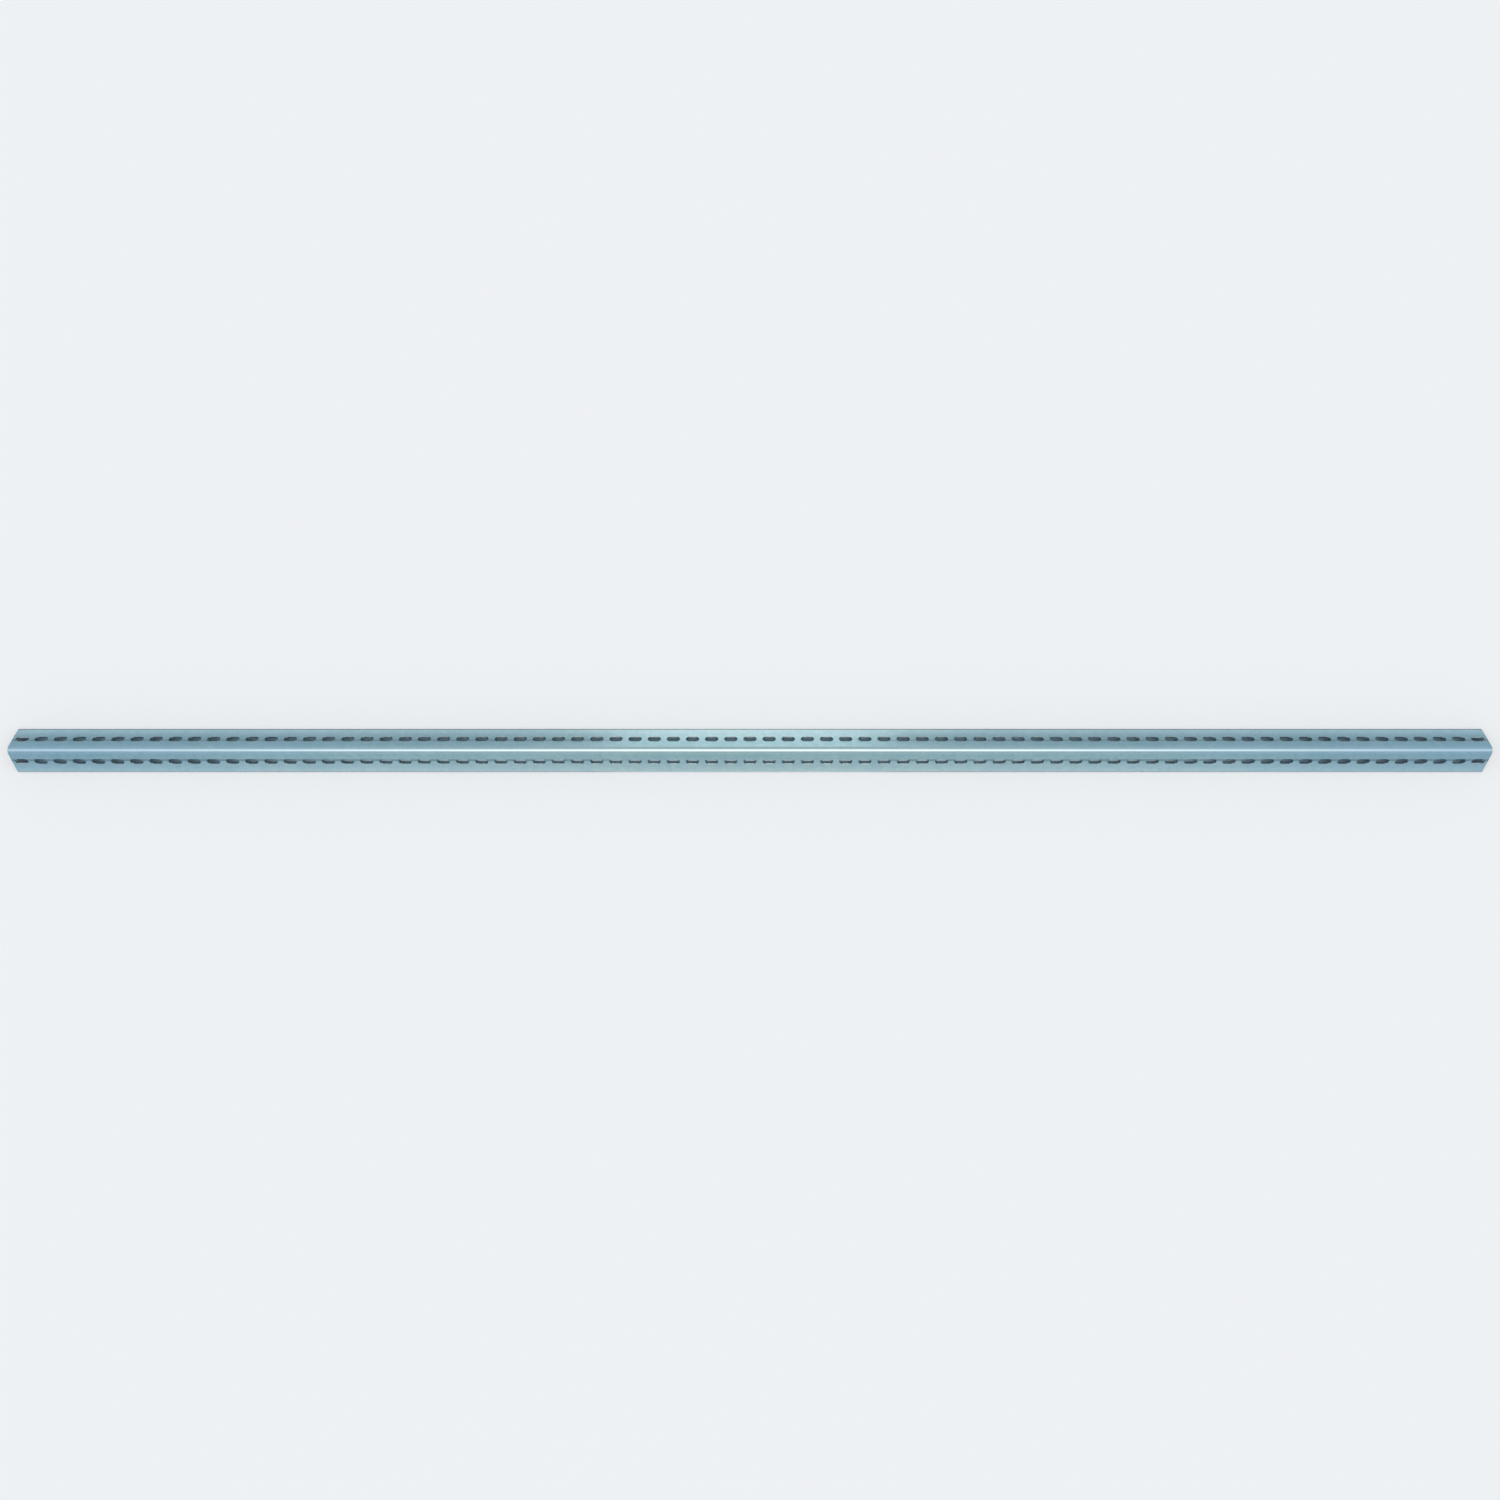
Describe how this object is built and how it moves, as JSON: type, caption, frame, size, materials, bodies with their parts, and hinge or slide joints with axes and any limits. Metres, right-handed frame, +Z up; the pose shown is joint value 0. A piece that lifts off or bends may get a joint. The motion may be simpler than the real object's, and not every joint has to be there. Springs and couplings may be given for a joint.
{
  "type": "slotted angle profile",
  "caption": "Equal-leg steel angle profile with a row of slots along each leg, galvanised and cut square at both ends.",
  "frame": {"origin": "midway along the length, on the floor plane, straight under the bend", "axes": "+X along the length, +Z up through the outside of the bend, +Y towards the back leg"},
  "size_m": [1.925, 0.0562, 0.0268],
  "materials": {
    "galvanised_steel": "satin zinc"
  },
  "bodies": {
    "root": {"angle_profile": "galvanised_steel"}
  },
  "joints": []
}
